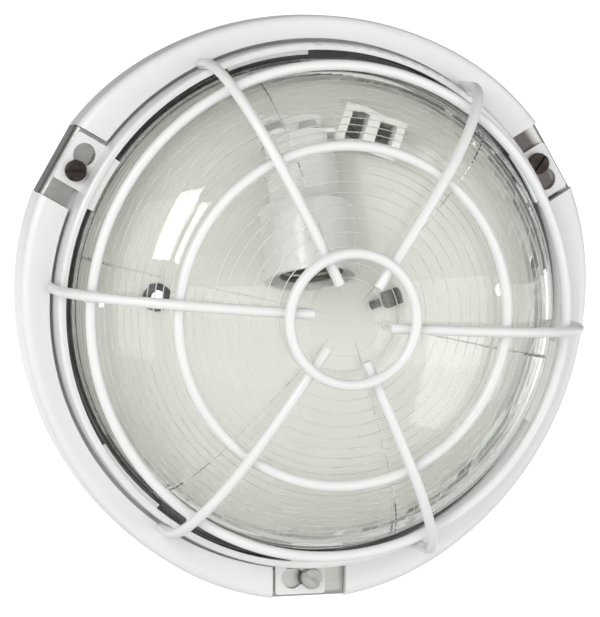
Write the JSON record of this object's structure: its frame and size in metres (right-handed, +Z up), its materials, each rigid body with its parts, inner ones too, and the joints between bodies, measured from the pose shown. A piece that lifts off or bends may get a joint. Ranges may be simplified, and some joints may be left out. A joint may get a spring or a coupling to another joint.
{
  "type": "damp-proof wall light",
  "caption": "Round damp-proof wall light: white base, twist-on ring with keyhole ears, ribbed glass dome, white wire guard, tilted screw lamp holder and terminal block inside.",
  "frame": {"origin": "centre of the base's back face, on the wall plane", "axes": "+Z up the wall, +X to the right as seen from the front, +Y into the wall; the light looks along -Y"},
  "size_m": [0.2384, 0.0797, 0.2374],
  "materials": {
    "white_coat": "smooth satin white coating",
    "bare_sheet": "bare zinc-plated sheet, dull",
    "black_rubber": "matt black rubber",
    "ribbed_glass": "clear pressed glass with a faint green tint",
    "plated_screw": "zinc-plated and slightly yellowed",
    "holder_ceramic": "white glaze",
    "brass": "plain brass, slightly dull",
    "terminal_plastic": "natural white plastic",
    "inner_coat": "white coated sheet",
    "small_screw": "zinc plate",
    "dark_steel": "darkened steel"
  },
  "bodies": {
    "base": {"housing": "white_coat", "notch_plate_1": "bare_sheet", "notch_plate_2": "bare_sheet", "notch_plate_3": "bare_sheet", "gasket": "black_rubber", "holder_body": "holder_ceramic", "holder_shell": "brass", "holder_contact": "brass", "holder_bracket": "inner_coat", "bracket_screw_1": "small_screw", "bracket_screw_2": "small_screw", "terminal_block": "terminal_plastic", "terminal_clamp_1": "brass", "terminal_clamp_2": "brass", "terminal_screw_1": "small_screw", "terminal_screw_2": "small_screw", "earth_clip": "dark_steel", "earth_screw": "dark_steel", "cable_grommet": "black_rubber"},
    "guard": {"retaining_ring": "white_coat", "glass_cover": "ribbed_glass", "guard_ring_inner": "white_coat", "guard_ring_middle": "white_coat", "guard_ring_outer": "white_coat", "guard_spoke_1": "white_coat", "guard_spoke_2": "white_coat", "guard_spoke_3": "white_coat", "guard_spoke_4": "white_coat", "guard_spoke_5": "white_coat", "guard_spoke_6": "white_coat"},
    "screw_1": {"cover_screw_1": "plated_screw"},
    "screw_2": {"cover_screw_2": "plated_screw"},
    "screw_3": {"cover_screw_3": "plated_screw"}
  },
  "joints": [
    {"name": "guard_twist", "type": "hinge", "parent": "base", "child": "guard", "pos_m": [0, 0, 0], "axis": [0, -1, 0], "range_deg": [0, 3.79]},
    {"name": "cover_screw_1_turn", "type": "hinge", "parent": "base", "child": "screw_1", "pos_m": [0.09699, -0.0145, 0.056], "axis": [0, -1, 0], "range_deg": [0, 360]},
    {"name": "cover_screw_2_turn", "type": "hinge", "parent": "base", "child": "screw_2", "pos_m": [-0.09699, -0.0145, 0.056], "axis": [0, -1, 0], "range_deg": [0, 360]},
    {"name": "cover_screw_3_turn", "type": "hinge", "parent": "base", "child": "screw_3", "pos_m": [0, -0.0145, -0.112], "axis": [0, -1, 0], "range_deg": [0, 360]}
  ]
}
